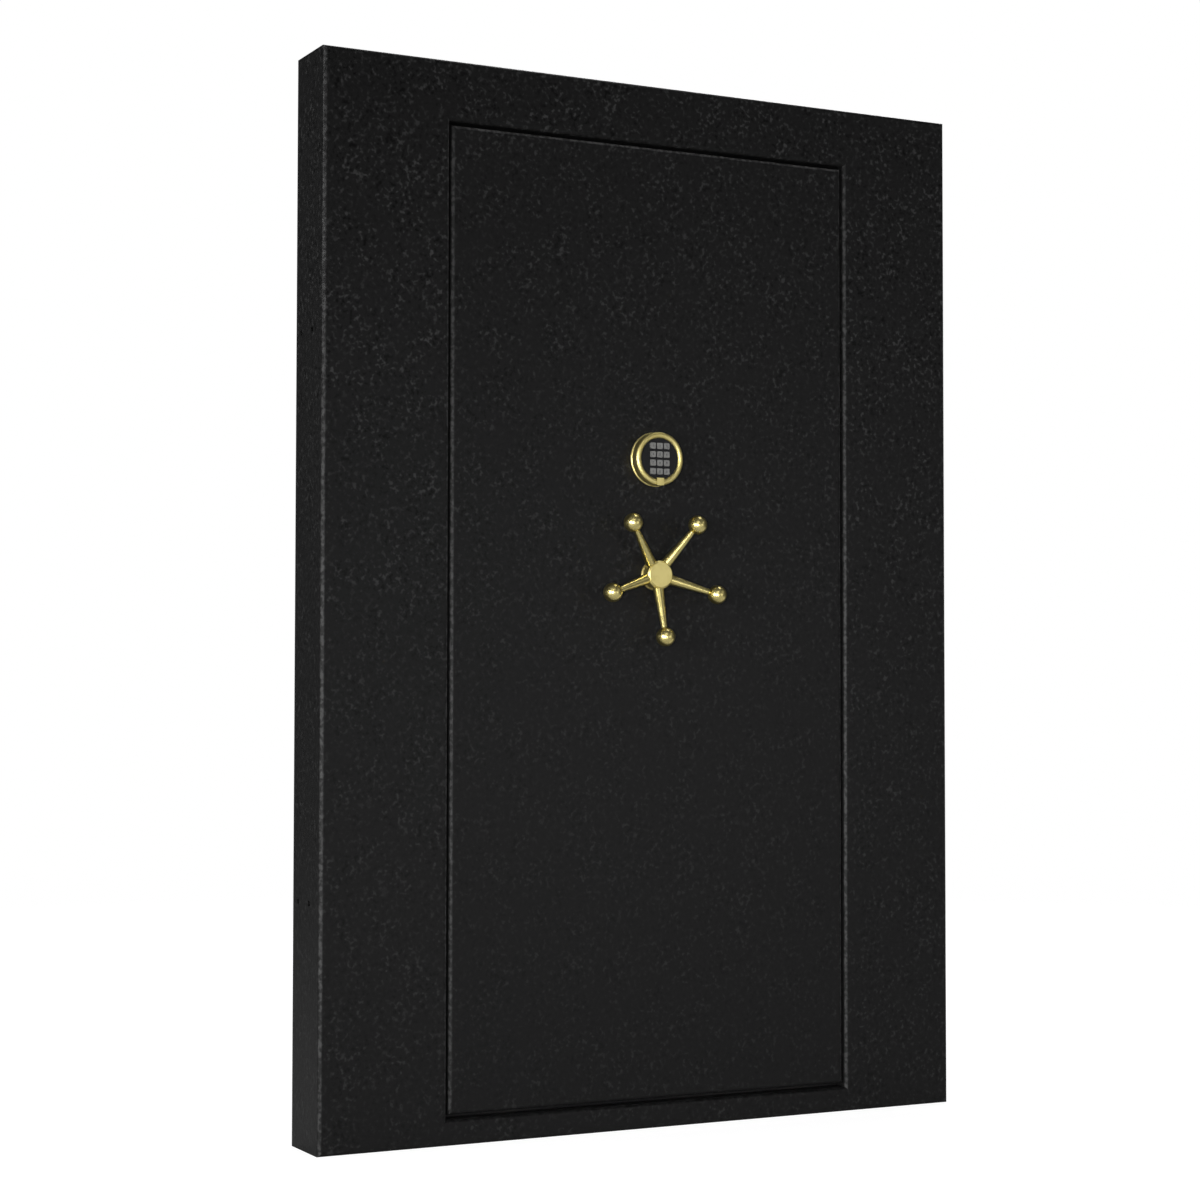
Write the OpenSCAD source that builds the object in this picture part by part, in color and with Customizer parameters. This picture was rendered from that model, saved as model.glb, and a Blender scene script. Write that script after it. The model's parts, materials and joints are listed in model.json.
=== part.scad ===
// Vault-room door: an in-swing steel leaf, flush in a wide flat frame, with a keypad lock,
// a five-spoke handle and bolts on all four sides.
// Millimetres. X to the right, Y into the vault, Z up.
// The origin is the middle of the frame's underside.

/* [Frame] */
// Overall width of the frame
frame_w = 1413; // [1360:1:1460]
// Overall height of the frame
frame_h = 2083; // [2070:1:2150]
// Depth of the frame, front face to back
frame_d = 140; // [136:1:160]
// Thickness of the bent front sheet
sheet_t = 5; // [4:0.5:6]
// Outer radius of the bends
bend_r = 8; // [6.5:0.5:9]
// Width of the frame at the left of the doorway
stile_left = 260; // [240:1:270]
// Width of the doorway
opening_w = 898; // [860:1:915]
// Height of the doorway
opening_h = 1915; // [1880:1:1930]
// Height of the frame under the doorway
sill_h = 50; // [50:1:60]
// Depth of the lip round the doorway
lip_depth = 28; // [24:1:30]
// Width of the ledge that the leaf closes on
rabbet = 26; // [24:0.5:26.5]
// Thickness of the jamb channels
jamb_t = 6; // [5:0.5:7]
// Width of the rear flange of the jambs
jamb_flange = 40; // [34:1:44]
// Thickness of the back plates
back_t = 5; // [4:0.5:6]

/* [Anchors] */
// Radius of the wall anchor holes
anchor_r = 5.5; // [4.5:0.5:7]
// Outside radius of the anchor sleeves
sleeve_r = 11; // [10:0.5:12]
// Distance between the two anchor rows, front to back
anchor_dy = 58; // [54:1:60]
// Distance between the lower and upper anchors
anchor_dz = 1085; // [1060:1:1110]

/* [Leaf] */
// Gap between leaf and doorway at the sides
side_gap = 5; // [4.5:0.5:9]
// Gap over the leaf
head_gap = 6.5; // [5:0.5:9]
// Gap under the leaf
foot_gap = 8; // [5:0.5:9]
// How far the leaf's face lies behind the frame's face
leaf_recess = 3; // [2:0.5:4]
// Thickness of the front pan
skin_t = 6; // [5:0.5:7]
// Thickness of the leaf's walls and flanges
body_t = 6; // [5:0.5:6.5]
// Gap between the leaf's wide part and the pocket of the frame
pocket_gap = 11.5; // [11:0.5:12.5]
// Space for the fire seal between ledge and leaf
seal_space = 6; // [5:0.5:7]
// Thickness of the fire board
board_t = 55; // [50:1:56]
// Thickness of the drill-resistant plate
hard_t = 6; // [5:0.5:8]
// Thickness of the boltwork plate
plate_t = 6; // [5:0.5:7]
// Thickness of the inside cover
cover_t = 4; // [3:0.5:5]
// How far the inside cover lies in front of the frame's back
cover_inset = 8; // [7:0.5:9]

/* [Hinges] */
// Radius of the hinge pins
hinge_pin_r = 9.5; // [8:0.5:10.5]
// Radius of the hinge knuckles
knuckle_r = 16; // [14.5:0.5:16.5]
// Height of one knuckle
knuckle_h = 46; // [40:1:50]
// Thickness of the thrust washer under the leaf's knuckle
washer_t = 3; // [2:0.5:4]
// Thickness of the hinge plates
hinge_plate_t = 8; // [7:0.5:9]
// Width of the hinge plates
hinge_plate_w = 100; // [80:1:110]
// Distance of the end hinges from the ends of the leaf
hinge_margin = 270; // [250:1:300]

/* [Boltwork] */
// Radius of the locking bolts
bolt_r = 16; // [14:0.5:16.5]
// Distance of the end bolts from the ends of the leaf's sides
side_margin = 250; // [235:1:265]
// Bolts on each side
side_bolts = 5; // [4:1:6]
// Distance between the two top bolts, and between the two bottom bolts
end_spacing = 500; // [440:1:560]
// Turn of the handle that throws the bolts, in degrees
throw_deg = 80; // [60:1:80]
// Module of the drive teeth
tooth_module = 2.5; // [2.3:0.1:2.5]
// Thickness of the bars
bar_t = 12; // [10:0.5:12]
// Width of the bars
bar_w = 24; // [22:0.5:26]
// Length of the bolt bushes
bush_len = 22; // [18:1:26]

/* [Handle] */
// Height of the handle's centre
handle_z = 1097; // [1080:1:1110]
// Radius of the circle through the balls' centres
ball_circle_r = 124; // [112:1:132]
// Radius of the balls
ball_r = 19; // [14:0.5:20]
// Distance of the balls' centres from the leaf's face
ball_off = 48; // [44:0.5:52]
// Distance of the hub's front from the leaf's face
hub_off = 30; // [29:0.5:34]
// Radius of the hub
hub_r = 28; // [27:0.5:31]
// Radius of the spokes at the hub
spoke_root_r = 11; // [8:0.5:11.5]
// Radius of the spokes at the balls
spoke_tip_r = 5.9; // [5:0.1:6.5]
// Radius of the drive shaft
shaft_r = 10; // [8:0.5:10.5]
// Radius of the escape knob on the inside
knob_r = 42; // [34:1:50]

/* [Keypad] */
// Height of the keypad's centre
keypad_z = 1329; // [1315:1:1345]
// Radius of the brass rim, outside
rim_r = 53.5; // [52:0.5:56]
// Width of the brass rim
rim_w = 12.3; // [11:0.1:12.6]
// Distance of the black face's front from the leaf
face_off = 23; // [22.5:0.5:24]
// Thickness of the black face
face_t = 4; // [3.5:0.5:4.5]
// Distance between the keys, side to side
key_dx = 15.5; // [15:0.1:16]
// Distance between the keys, up and down
key_dz = 17; // [16:0.1:17.4]
// Width of a key
key_w = 12.5; // [11:0.1:12.8]
// Height of a key
key_h = 12; // [11:0.1:12.6]
// How far a key can be pressed
key_travel = 1.2; // [0.8:0.1:1.2]

/* [Lock] */
// Length of the lock case
lock_len = 85; // [75:1:95]
// Height of the lock case
lock_h = 61; // [55:1:66]
// Travel of the lock's bolt
lock_travel = 14; // [10:0.5:14]
// Height of the lock's bolt
lock_bolt_h = 16; // [14:0.5:17]
// How far the relocker lies below the handle
relocker_drop = 200; // [180:1:230]
// Radius of the relocker's pin
relocker_pin_r = 5; // [4:0.5:5.5]
// Travel of the relocker's pin
relocker_travel = 11; // [8:0.5:11]

/* [Hidden] */
$fn = 64;

// Fits and small clearances
fit = 0.05;
slide_gap = 0.3;
plate_seam = 0.5;
cut = 1;

// Colours
paint = [0.12, 0.12, 0.125];
brass = [0.80, 0.70, 0.36];
steel = [0.62, 0.63, 0.65];
zinc = [0.72, 0.72, 0.70];
gypsum = [0.85, 0.83, 0.78];
black_plastic = [0.05, 0.05, 0.055];
key_grey = [0.62, 0.62, 0.62];

// Frame planes
y_front = -frame_d / 2;
y_rear = frame_d / 2;
y_back = y_rear - back_t;
y_lip = y_front + lip_depth;
y_ledge = y_lip + jamb_t;
y_step = y_ledge + seal_space;
open_x0 = -frame_w / 2 + stile_left;
open_x1 = open_x0 + opening_w;
open_z0 = sill_h;
open_z1 = sill_h + opening_h;
pocket_x0 = open_x0 - rabbet;
pocket_x1 = open_x1 + rabbet;
pocket_z0 = open_z0 - rabbet;
pocket_z1 = open_z1 + rabbet;
jamb_z0 = pocket_z0 - jamb_t;
jamb_z1 = pocket_z1 + jamb_t;
sill_flange = jamb_z0 - sheet_t;

// Leaf planes
y_leaf = y_front + leaf_recess;
leaf_x0 = open_x0 + side_gap;
leaf_x1 = open_x1 - side_gap;
leaf_z0 = open_z0 + foot_gap;
leaf_z1 = open_z1 - head_gap;
leaf_cx = (leaf_x0 + leaf_x1) / 2;
wide_x0 = pocket_x0 + pocket_gap;
wide_x1 = pocket_x1 - pocket_gap;
wide_z0 = pocket_z0 + pocket_gap;
wide_z1 = pocket_z1 - pocket_gap;
in_x0 = wide_x0 + body_t;
in_x1 = wide_x1 - body_t;
in_z0 = wide_z0 + body_t;
in_z1 = wide_z1 - body_t;
y_board = y_leaf + skin_t;
y_plate0 = y_board + board_t;
y_plate = y_plate0 + plate_t;
y_cover1 = y_rear - cover_inset;
y_cover0 = y_cover1 - cover_t;
step_lap = 12;
rear_flange = 30;
board_gap = 1;
inner_bend_min = 0.5;
shaft_hole_gap = 2;
cover_hole_gap = 1.5;
seal_side = 8;
seal_lap = 6;
hard_half_w = 130;
hard_below = 150;
hard_above = 110;

// Places evenly spread between two ends, the first and last a margin away from them
function spread(lo, hi, margin, count) =
    [for (i = [0:count - 1]) lo + margin + i * (hi - lo - 2 * margin) / (count - 1)];

// Hinges
hinges = 3;
knuckle_gap = 2;
hinge_inset = 5.75;
hinge_x = pocket_x1 - hinge_inset;
hinge_y = y_rear + knuckle_r + knuckle_gap;
hinge_clear = knuckle_r + knuckle_gap;
hinge_h = 3 * knuckle_h + washer_t + 2 * slide_gap;
hinge_zs = [for (z = spread(wide_z0, wide_z1, hinge_margin, hinges)) z - hinge_h / 2];
pin_head = 5;
pin_head_r = knuckle_r - 2;
washer_r = knuckle_r - 1;
web_lift = 3;
web_back = 4;
web_lap = 2;

// Boltwork planes: racks of the side bolts in front, racks of the end bolts behind
teeth = 16;
pitch_r = tooth_module * teeth / 2;
throw = pitch_r * throw_deg * PI / 180;
addendum = 0.8 * tooth_module;
dedendum = 1.1 * tooth_module;
backlash = 0.3;
pressure = 20;
base_r = pitch_r * cos(pressure);
root_r = pitch_r - dedendum;
tip_r = pitch_r + addendum;
tooth_pitch = PI * tooth_module;
bar_v0 = pitch_r + dedendum;
bar_v1 = bar_v0 + bar_w;
bar_lift = 8;
bar_space = 2;
y_bar_a = y_plate + bar_lift;
y_bar_b = y_bar_a + bar_t + bar_space;
y_bars_end = y_bar_b + bar_t;
bolt_lift = 22;
y_bolt = y_plate + bolt_lift;
carriage_t = 16;
carriage_d = 28;
carriage_y0 = y_plate + bar_lift;
carriage_y1 = carriage_y0 + carriage_d;
bolt_inset = 1;
bolt_chamfer = 2;
throw_spare = 2;
throw_room = throw + throw_spare;
car_left = in_x0 + bush_len + throw_room;
car_right = in_x1 - bush_len - throw_room;
car_top = in_z1 - bush_len - throw_room;
car_bottom = in_z0 + bush_len + throw_room;
carriage_end = 24;
side_zs = spread(wide_z0, wide_z1, side_margin, side_bolts);
end_xs = [leaf_cx - end_spacing / 2, leaf_cx + end_spacing / 2];
strike_gap = 1;
strike_r = bolt_r + strike_gap;
bush_wall = 6;
guide_wall = 8;
guide_len = 24;
guide_cap = 5;
pinion_over = 1;

// Guides of the bars, as distances from the pinion: the outer ones keep to the leaf's walls
side_guide_inset = 136.5;
top_guide_inset = 178.5;
bottom_guide_inset = 354.5;
side_guides = [180, in_x1 - leaf_cx - side_guide_inset];
top_guides = [420, in_z1 - handle_z - top_guide_inset];
bottom_guides = [420, handle_z - in_z0 - bottom_guide_inset];

// Rear support of the shaft
bridge_gap = 8;
y_bridge0 = y_bars_end + bridge_gap;
bridge_t = 6;
bridge_margin = 36;
bridge_half = bar_v1 + bridge_margin;
post_margin = 23;
post_at = bar_v1 + post_margin;
post_r = 8;
bush_t = 4;
bush_r = shaft_r + bush_t;

// Handle
hub_bottom = 5;
spoke_start = 9;
spokes = 5;
spoke_tilt = atan((ball_off - spoke_start) / ball_circle_r);
ball_reach = ball_circle_r / cos(spoke_tilt);
ball_seat_gap = 0.1;
spoke_end = ball_reach - sqrt(ball_r * ball_r - spoke_tip_r * spoke_tip_r) - ball_seat_gap;
spoke_spigot_r = 6;
spoke_spigot_len = 11;
spoke_sunk = 6;
spoke_root_spare = 0.3;
ball_spigot_r = 5;
ball_spigot_len = 14;
ball_spigot_lap = 4;
spigot_spare = 0.5;
hub_bevel = 3.5;
escutcheon_margin = 2;
escutcheon_gap = 0.5;
escutcheon_bevel = 3;
escutcheon_bore = shaft_r + 0.6;
escutcheon_r = hub_r + escutcheon_margin;
escutcheon_h = hub_bottom - escutcheon_gap;
knob_gap = 1;
knob_stem_len = 13;
knob_len = 18;
knob_round_r = 6;
knob_stem_r = shaft_r + 8;
knob_y0 = y_cover1 + knob_gap;
knob_y1 = knob_y0 + knob_stem_len;
knob_y2 = knob_y1 + knob_len;
hub_cap = 6;
knob_cap = 8;
shaft_spare = 0.5;
shaft_y0 = y_leaf - hub_off + hub_cap;
shaft_y1 = knob_y2 - knob_cap;

// Keypad, as distances from the leaf's face
rim_mid_r = rim_r - rim_w / 2;
rim_arc_off = 20.5;
rim_top = rim_arc_off + rim_w / 2;
flange_r = rim_r + 0.5;
flange_h = 3;
groove_r = rim_r - 1.5;
groove_off0 = 4.5;
groove_off1 = 6.5;
drum_off = 8;
face_gap = 0.2;
face_r = rim_r - rim_w - face_gap;
face_back = face_off - face_t;
face_ledge = 1;
key_flange = 0.75;
key_flange_t = 1.1;
key_proud = 1.5;
key_spare = 0.2;
key_top = face_off + key_proud;
key_floor = face_back - slide_gap - key_flange_t - key_travel - key_spare;
key_well_r = face_r - face_ledge;
key_corner_r = 2;
well_floor_t = 1.5;
tray_half = 12;
tray_wall = 1.3;
tray_off0 = 2.3;
tray_off1 = key_floor - well_floor_t;
tray_top = 3;
tab_half = 8;
tab_top = 38.5;
tab_proud = 0.5;
drawer_gap = 0.1;
drawer_way = 4;
cell_r = 5.2;
cell_len = 43;
cell_gap = 0.5;
cell_x = cell_r + 0.15;
cell_off = tray_off0 + tray_wall + cell_r + 0.1;
cell_z0 = keypad_z - tray_top - 1.6 - cell_len;
cable_r = 3;
key_names = ["key_1", "key_2", "key_3", "key_4", "key_5", "key_6", "key_7", "key_8", "key_9",
    "key_star", "key_0", "key_hash"];

// Lock and relocker
lock_gap = 3;
lock_back = 4;
lock_face_x = leaf_cx + bar_v0 - lock_gap;
lock_y1 = y_bars_end + lock_back;
lock_bolt_len = 32;
window_gap = 3;
window_end = 0.5;
lock_window = lock_bolt_h + window_gap;
relocker_z = handle_z - relocker_drop;
relocker_y = (y_bar_b + y_bars_end) / 2;
relocker_face_x = leaf_cx - bar_v0 + lock_gap;
relocker_len = 46;
relocker_h = 36;
relocker_window = 2 * relocker_pin_r + window_gap;
relocker_pin_len = 30;
relocker_pin_spare = 1;

// Screws
screw_r = 3;
screw_head_r = 6;
screw_head_h = 3;
upright_screws = 4;
level_screws = 3;
frame_screw_end_z = 66;
frame_screw_end_x = 100;
leaf_screw_end_z = 60;
leaf_screw_end_x = 120;
frame_screw_zs = spread(pocket_z0, pocket_z1, frame_screw_end_z, upright_screws);
frame_screw_xs = spread(pocket_x0, pocket_x1, frame_screw_end_x, level_screws);
leaf_screw_zs = spread(wide_z0, wide_z1, leaf_screw_end_z, upright_screws);
leaf_screw_xs = spread(wide_x0, wide_x1, leaf_screw_end_x, level_screws);

// Points of an arc
function arc(cx, cy, r, a0, a1, steps) =
    [for (i = [0:steps]) let (a = a0 + i * (a1 - a0) / steps) [cx + r * cos(a), cy + r * sin(a)]];

// Block between two corners
module box(x0, x1, y0, y1, z0, z1) {
    translate([x0, y0, z0]) cube([x1 - x0, y1 - y0, z1 - z0]);
}

// Round rods along the three axes
module rod_x(y, z, x0, x1, r) {
    translate([x0, y, z]) rotate([0, 90, 0]) cylinder(h = x1 - x0, r = r);
}

module rod_y(x, z, y0, y1, r) {
    translate([x, y0, z]) rotate([-90, 0, 0]) cylinder(h = y1 - y0, r = r);
}

module rod_z(x, y, z0, z1, r) {
    translate([x, y, z0]) cylinder(h = z1 - z0, r = r);
}

// Outline drawn in X and Z, given a thickness in Y
module slab(y0, y1) {
    translate([0, y1, 0]) rotate([90, 0, 0]) linear_extrude(y1 - y0) children();
}

// Profile turned about an axis that stands out of the leaf's face
module turned(x, z) {
    translate([x, y_leaf, z]) rotate([90, 0, 0]) rotate_extrude() children();
}

// Bent sheet outline: square at the back, rounded at the two front corners
module bent_profile(lo, hi, front, back, r) {
    difference() {
        translate([lo, front]) square([hi - lo, back - front]);
        for (side = [0, 1]) {
            translate([side == 0 ? lo : hi, front]) mirror([side, 0]) difference() {
                translate([-cut, -cut]) square(r + cut);
                translate([r, r]) circle(r);
            }
        }
    }
}

// Doorway outline: straight at the back, flared by the rounded edges at the front
module flared_profile(lo, hi, front, back, r) {
    translate([lo, front - cut]) square([hi - lo, back - front + cut]);
    for (side = [0, 1]) {
        translate([side == 0 ? lo : hi, front]) mirror([side, 0]) difference() {
            translate([-r, -cut]) square([r + cut, r + cut]);
            translate([-r, r]) circle(r);
        }
    }
}

// Block whose four front edges are rounded like sheet bends
module bent_block(x0, x1, y0, y1, z0, z1, r) {
    intersection() {
        translate([0, 0, z0]) linear_extrude(z1 - z0) bent_profile(x0, x1, y0, y1, r);
        translate([x0, 0, 0]) rotate([90, 0, 90]) linear_extrude(x1 - x0)
            mirror([1, -1]) bent_profile(z0, z1, y0, y1, r);
    }
}

// Cutter for a doorway whose four front edges are rounded like sheet bends
module flared_block(x0, x1, y0, y1, z0, z1, r) {
    intersection() {
        translate([0, 0, z0 - r - cut]) linear_extrude(z1 - z0 + 2 * r + 2 * cut)
            flared_profile(x0, x1, y0, y1, r);
        translate([x0 - r - cut, 0, 0]) rotate([90, 0, 90])
            linear_extrude(x1 - x0 + 2 * r + 2 * cut)
            mirror([1, -1]) flared_profile(z0, z1, y0, y1, r);
    }
}

// Rectangular ring that lies in the door's plane
module ring(x0, x1, z0, z1, lap, y0, y1) {
    difference() {
        box(x0, x1, y0, y1, z0, z1);
        box(x0 + lap, x1 - lap, y0 - cut, y1 + cut, z0 + lap, z1 - lap);
    }
}

// Places of the four anchors on one side
module at_anchors() {
    for (dy = [-1, 1], dz = [-1, 1]) {
        translate([0, anchor_y + dy * anchor_dy / 2, anchor_z + dz * anchor_dz / 2]) children();
    }
}

anchor_y = (y_ledge + y_back) / 2;
anchor_z = (side_zs[0] + side_zs[side_bolts - 1]) / 2;

module frame_face() {
    color(paint) difference() {
        union() {
            difference() {
                bent_block(-frame_w / 2, frame_w / 2, y_front, y_back, 0, frame_h, bend_r);
                bent_block(-frame_w / 2 + sheet_t, frame_w / 2 - sheet_t, y_front + sheet_t,
                    y_back + cut, sheet_t, frame_h - sheet_t, bend_r - sheet_t);
            }
            box(open_x0 - sheet_t, open_x1 + sheet_t, y_front + sheet_t / 2, y_lip,
                open_z0 - sheet_t, open_z1 + sheet_t);
        }
        flared_block(open_x0, open_x1, y_front, y_lip + cut, open_z0, open_z1, bend_r);
        for (side = [-1, 1]) {
            at_anchors() rod_x(0, 0, side * frame_w / 2 - sheet_t - cut,
                side * frame_w / 2 + sheet_t + cut, anchor_r);
        }
    }
}

// Upright jamb channel, drawn for the left side: ledge, web and rear flange
module upright_jamb(web_x, ledge_x, flange_x) {
    box(min(web_x, ledge_x), max(web_x, ledge_x), y_lip, y_ledge, jamb_z0, jamb_z1);
    box(min(web_x, flange_x), max(web_x, flange_x), y_back - jamb_t, y_back, jamb_z0, jamb_z1);
}

module strike_jamb() {
    color(paint) difference() {
        union() {
            upright_jamb(pocket_x0 - jamb_t, open_x0, pocket_x0 - jamb_t - jamb_flange);
            box(pocket_x0 - jamb_t, pocket_x0, y_lip, y_back, jamb_z0, jamb_z1);
        }
        for (z = side_zs) {
            rod_x(y_bolt, z, pocket_x0 - jamb_t - cut, pocket_x0 + cut, strike_r);
        }
        at_anchors() rod_x(0, 0, pocket_x0 - jamb_t - cut, pocket_x0 + cut, anchor_r);
        upright_screw_holes(-1);
    }
}

module hinge_jamb() {
    color(paint) difference() {
        union() {
            upright_jamb(pocket_x1 + jamb_t, open_x1, pocket_x1 + jamb_t + jamb_flange);
            box(pocket_x1, pocket_x1 + jamb_t, y_lip, y_back, jamb_z0, jamb_z1);
        }
        for (z = side_zs) {
            rod_x(y_bolt, z, pocket_x1 - cut, pocket_x1 + jamb_t + cut, strike_r);
        }
        at_anchors() rod_x(0, 0, pocket_x1 - cut, pocket_x1 + jamb_t + cut, anchor_r);
        upright_screw_holes(1);
    }
}

module head_jamb() {
    color(paint) difference() {
        union() {
            box(open_x0, open_x1, y_lip, y_ledge, open_z1, jamb_z1);
            box(pocket_x0, pocket_x1, y_ledge, y_back, pocket_z1, jamb_z1);
            box(pocket_x0, pocket_x1, y_back - jamb_t, y_back, jamb_z1, jamb_z1 + jamb_flange);
        }
        for (x = end_xs) {
            rod_z(x, y_bolt, pocket_z1 - cut, jamb_z1 + cut, strike_r);
        }
        level_screw_holes(jamb_z1 + jamb_flange / 2);
    }
}

module sill_jamb() {
    color(paint) difference() {
        union() {
            box(open_x0, open_x1, y_lip, y_ledge, jamb_z0, open_z0);
            box(pocket_x0, pocket_x1, y_ledge, y_back, jamb_z0, pocket_z0);
            box(pocket_x0, pocket_x1, y_back - jamb_t, y_back, sheet_t, jamb_z0);
        }
        for (x = end_xs) {
            rod_z(x, y_bolt, jamb_z0 - cut, pocket_z0 + cut, strike_r);
        }
        level_screw_holes(sheet_t + sill_flange / 2);
    }
}

// Places of the back plates' screws
function upright_screw_x(side) = side < 0 ? pocket_x0 - jamb_t - jamb_flange / 2
    : pocket_x1 + jamb_t + jamb_flange / 2;

module upright_screw_holes(side) {
    for (z = frame_screw_zs) {
        rod_y(upright_screw_x(side), z, y_back - jamb_t - cut, y_rear + cut, screw_r + fit);
    }
}

module level_screw_holes(z) {
    for (x = frame_screw_xs) {
        rod_y(x, z, y_back - jamb_t - cut, y_rear + cut, screw_r + fit);
    }
}

module frame_back_plates() {
    color(paint) difference() {
        union() {
            box(-frame_w / 2, pocket_x0, y_back, y_rear, 0, frame_h);
            box(pocket_x1, frame_w / 2, y_back, y_rear, 0, frame_h);
            box(pocket_x0 + plate_seam, pocket_x1 - plate_seam, y_back, y_rear, pocket_z1, frame_h);
            box(pocket_x0 + plate_seam, pocket_x1 - plate_seam, y_back, y_rear, 0, pocket_z0);
        }
        upright_screw_holes(-1);
        upright_screw_holes(1);
        level_screw_holes(jamb_z1 + jamb_flange / 2);
        level_screw_holes(sheet_t + sill_flange / 2);
    }
}

// Pan-head screw that enters along -Y from the plane y_head
module screw(x, z, y_tip, y_head) {
    rod_y(x, z, y_tip, y_head, screw_r);
    rod_y(x, z, y_head, y_head + screw_head_h, screw_head_r);
}

module frame_screws() {
    color(zinc) {
        for (side = [-1, 1], z = frame_screw_zs) {
            screw(upright_screw_x(side), z, y_back - jamb_t, y_rear);
        }
        for (x = frame_screw_xs, z = [sheet_t + sill_flange / 2, jamb_z1 + jamb_flange / 2]) {
            screw(x, z, y_back - jamb_t, y_rear);
        }
    }
}

module fire_seal() {
    color("dimgray") difference() {
        box(pocket_x0 + seal_side, pocket_x1 - seal_side, y_ledge, y_step - slide_gap,
            pocket_z0 + seal_side, pocket_z1 - seal_side);
        box(open_x0 - seal_lap, open_x1 + seal_lap, y_ledge - cut, y_step + cut,
            open_z0 - seal_lap, open_z1 + seal_lap);
    }
}

// Frame half of the hinges: a plate on the frame's back, with a knuckle at each end
module frame_hinge_plates() {
    color(steel) for (z = hinge_zs) {
        difference() {
            union() {
                box(hinge_x + hinge_clear, hinge_x + hinge_clear + hinge_plate_w, y_rear,
                    y_rear + hinge_plate_t, z, z + hinge_h);
                for (z0 = [z, z + hinge_h - knuckle_h]) {
                    rod_z(hinge_x, hinge_y, z0, z0 + knuckle_h, knuckle_r);
                    box(hinge_x, hinge_x + hinge_clear + web_lap, y_rear + web_lift,
                        hinge_y - web_back, z0, z0 + knuckle_h);
                }
            }
            rod_z(hinge_x, hinge_y, z - cut, z + hinge_h + cut, hinge_pin_r + fit);
        }
    }
}

module hinge_pins() {
    color(steel) for (z = hinge_zs) {
        rod_z(hinge_x, hinge_y, z, z + hinge_h, hinge_pin_r);
        rod_z(hinge_x, hinge_y, z + hinge_h, z + hinge_h + pin_head, pin_head_r);
    }
}

module hinge_bearings() {
    color(brass) for (z = hinge_zs) {
        difference() {
            rod_z(hinge_x, hinge_y, z + knuckle_h, z + knuckle_h + washer_t, washer_r);
            rod_z(hinge_x, hinge_y, z + knuckle_h - cut, z + knuckle_h + washer_t + cut,
                hinge_pin_r + fit);
        }
    }
}

// Leaf half of the hinges: a plate on the leaf's back, with the middle knuckle
module leaf_hinge_plates() {
    color(steel) for (z = hinge_zs) {
        z0 = z + knuckle_h + washer_t + slide_gap;
        difference() {
            union() {
                box(hinge_x - hinge_clear - hinge_plate_w, hinge_x - hinge_clear, y_cover1,
                    y_cover1 + hinge_plate_t, z, z + hinge_h);
                rod_z(hinge_x, hinge_y, z0, z0 + knuckle_h, knuckle_r);
                box(hinge_x - hinge_clear - web_lap, hinge_x, y_cover1, hinge_y - web_back, z0,
                    z0 + knuckle_h);
            }
            rod_z(hinge_x, hinge_y, z - cut, z + hinge_h + cut, hinge_pin_r + fit);
        }
    }
}

module anchor_sleeves() {
    color(steel) at_anchors() {
        difference() {
            union() {
                rod_x(0, 0, -frame_w / 2 + sheet_t, pocket_x0 - jamb_t, sleeve_r);
                rod_x(0, 0, pocket_x1 + jamb_t, frame_w / 2 - sheet_t, sleeve_r);
            }
            rod_x(0, 0, -frame_w / 2, frame_w / 2, anchor_r);
        }
    }
}

module door_skin() {
    color(paint) difference() {
        bent_block(leaf_x0, leaf_x1, y_leaf, y_step, leaf_z0, leaf_z1, bend_r);
        bent_block(leaf_x0 + skin_t, leaf_x1 - skin_t, y_leaf + skin_t, y_step + cut,
            leaf_z0 + skin_t, leaf_z1 - skin_t, max(bend_r - skin_t, inner_bend_min));
        rod_y(leaf_cx, handle_z, y_leaf - cut, y_board + cut, bush_r + fit);
        rod_y(leaf_cx, keypad_z, y_leaf - cut, y_board + cut, cable_r + slide_gap);
    }
}

// Bent ring: step flange in front, bored walls, rear flange for the cover
module door_body() {
    color(paint) difference() {
        union() {
            ring(wide_x0, wide_x1, wide_z0, wide_z1, body_t, y_step, y_cover0);
            difference() {
                box(wide_x0, wide_x1, y_step, y_step + body_t, wide_z0, wide_z1);
                box(leaf_x0 + step_lap, leaf_x1 - step_lap, y_step - cut, y_step + body_t + cut,
                    leaf_z0 + step_lap, leaf_z1 - step_lap);
            }
            ring(wide_x0, wide_x1, wide_z0, wide_z1, body_t + rear_flange, y_cover0 - body_t,
                y_cover0);
        }
        for (z = side_zs) {
            rod_x(y_bolt, z, wide_x0 - cut, in_x0 + cut, bolt_r + slide_gap);
            rod_x(y_bolt, z, in_x1 - cut, wide_x1 + cut, bolt_r + slide_gap);
        }
        for (x = end_xs) {
            rod_z(x, y_bolt, wide_z0 - cut, in_z0 + cut, bolt_r + slide_gap);
            rod_z(x, y_bolt, in_z1 - cut, wide_z1 + cut, bolt_r + slide_gap);
        }
        leaf_screw_holes();
    }
}

module at_leaf_screws() {
    for (x = [in_x0 + rear_flange / 2, in_x1 - rear_flange / 2], z = leaf_screw_zs) {
        translate([x, 0, z]) children();
    }
    for (x = leaf_screw_xs, z = [in_z0 + rear_flange / 2, in_z1 - rear_flange / 2]) {
        translate([x, 0, z]) children();
    }
}

module leaf_screw_holes() {
    at_leaf_screws() rod_y(0, 0, y_cover0 - body_t - cut, y_cover1 + cut, screw_r + fit);
}

module leaf_screws() {
    color(zinc) at_leaf_screws() screw(0, 0, y_cover0 - body_t, y_cover1);
}

module rear_cover() {
    color(paint) difference() {
        box(wide_x0, wide_x1, y_cover0, y_cover1, wide_z0, wide_z1);
        rod_y(leaf_cx, handle_z, y_cover0 - cut, y_cover1 + cut,
            shaft_r + cover_hole_gap);
        leaf_screw_holes();
    }
}

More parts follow.
